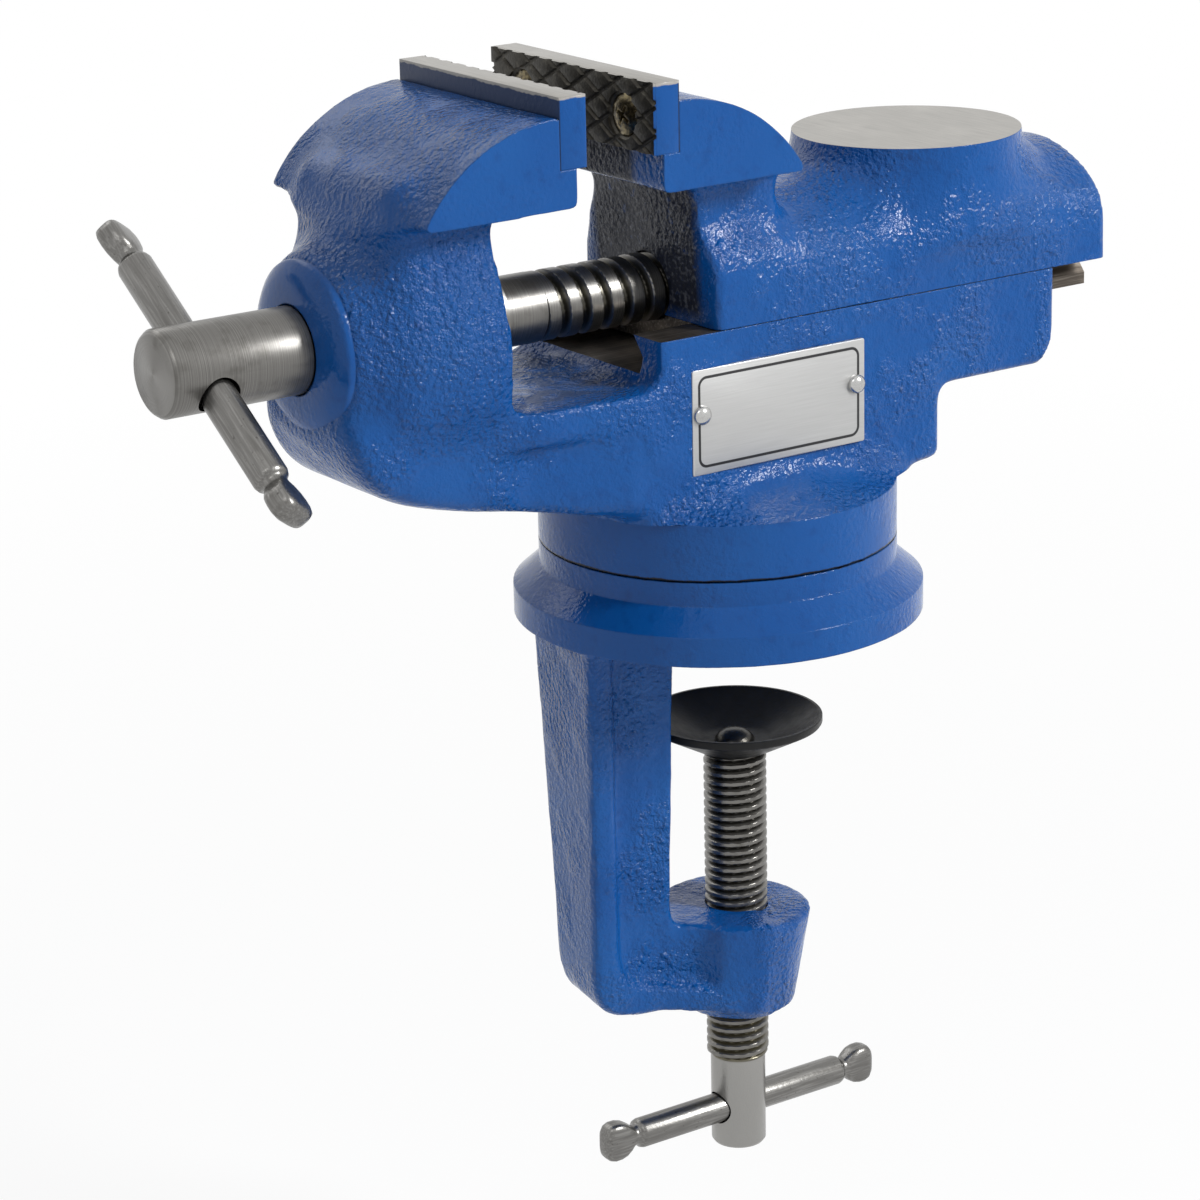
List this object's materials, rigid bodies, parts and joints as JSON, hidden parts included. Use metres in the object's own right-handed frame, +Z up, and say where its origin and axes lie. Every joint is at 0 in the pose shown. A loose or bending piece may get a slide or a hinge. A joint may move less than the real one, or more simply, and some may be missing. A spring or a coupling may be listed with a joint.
{
  "type": "bench vise",
  "caption": "Small cast vise on a turning base, with a clamp screw under it that grips the edge of a bench.",
  "frame": {"origin": "on the swivel axis, in the flat underside of the flange that rests on the bench", "axes": "+X along the lead screw from its handle towards the anvil, +Z up out of the bench, +Y towards the side away from the nameplate"},
  "size_m": [0.1931, 0.0764, 0.216],
  "materials": {
    "blue_casting": "thick glossy blue enamel over a rough casting, bare and ground on the machined faces",
    "jaw_steel": "hardened steel with a crossed pattern on the gripping faces",
    "brassy_screw": "yellow passivated zinc",
    "plated_steel": "zinc plated",
    "nameplate_metal": "brushed, bare",
    "rivet_metal": "smooth domes",
    "turned_steel": "turned, with fine tool lines",
    "bar_steel": "drawn bar, dull",
    "dark_steel": "rolled thread with a dark film of oil",
    "black_pad": "pressed steel, blacked"
  },
  "bodies": {
    "bracket": {"clamp_bracket": "blue_casting", "pivot_bolt": "plated_steel", "pivot_spring_washer": "plated_steel", "pivot_washer": "plated_steel"},
    "vise": {"vise_body": "blue_casting", "front_jaw_plate": "jaw_steel", "front_plate_screw_near": "brassy_screw", "front_plate_screw_far": "brassy_screw", "nameplate": "nameplate_metal", "nameplate_rivet_front": "rivet_metal", "nameplate_rivet_rear": "rivet_metal"},
    "slide": {"sliding_jaw": "blue_casting", "rear_jaw_plate": "jaw_steel", "rear_plate_screw_near": "brassy_screw", "rear_plate_screw_far": "brassy_screw"},
    "lead_screw": {"lead_screw": "turned_steel", "retaining_collar": "turned_steel", "collar_pin": "turned_steel"},
    "lead_screw_bar": {"lead_screw_bar": "bar_steel"},
    "clamp_pad": {"clamp_pad": "black_pad"},
    "clamp_screw": {"clamp_screw": "dark_steel"},
    "clamp_screw_bar": {"clamp_screw_bar": "bar_steel"}
  },
  "joints": [
    {"name": "swivel", "type": "hinge", "parent": "bracket", "child": "vise", "pos_m": [0, 0, 0.0145], "axis": [0, 0, 1], "continuous": true},
    {"name": "jaw_slide", "type": "slide", "parent": "vise", "child": "slide", "axis": [1, 0, 0], "range_m": [-0.0136, 0.036]},
    {"name": "lead_screw_turn", "type": "hinge", "parent": "vise", "child": "lead_screw", "pos_m": [-0.089, 0, 0.063], "axis": [1, 0, 0], "range_deg": [-2900, 1100]},
    {"name": "lead_bar_slide", "type": "slide", "parent": "lead_screw", "child": "lead_screw_bar", "axis": [0, 0.8387, 0.5446], "range_m": [-0.0192, 0.021]},
    {"name": "clamp_feed", "type": "slide", "parent": "bracket", "child": "clamp_pad", "axis": [0, 0, 1], "range_m": [-0.031, 0.0165]},
    {"name": "clamp_screw_turn", "type": "hinge", "parent": "clamp_pad", "child": "clamp_screw", "pos_m": [0.00305, -0.00054, -0.0294], "axis": [0, 0, 1], "range_deg": [-6400, 3420]},
    {"name": "clamp_bar_slide", "type": "slide", "parent": "clamp_screw", "child": "clamp_screw_bar", "axis": [1, 0, 0], "range_m": [-0.0203, 0.0203]}
  ],
  "couplings": [
    {"joint": "lead_screw_turn", "follows": "jaw_slide", "rad_per_m": -1396.3},
    {"joint": "clamp_screw_turn", "follows": "clamp_feed", "rad_per_m": 3590.4}
  ]
}
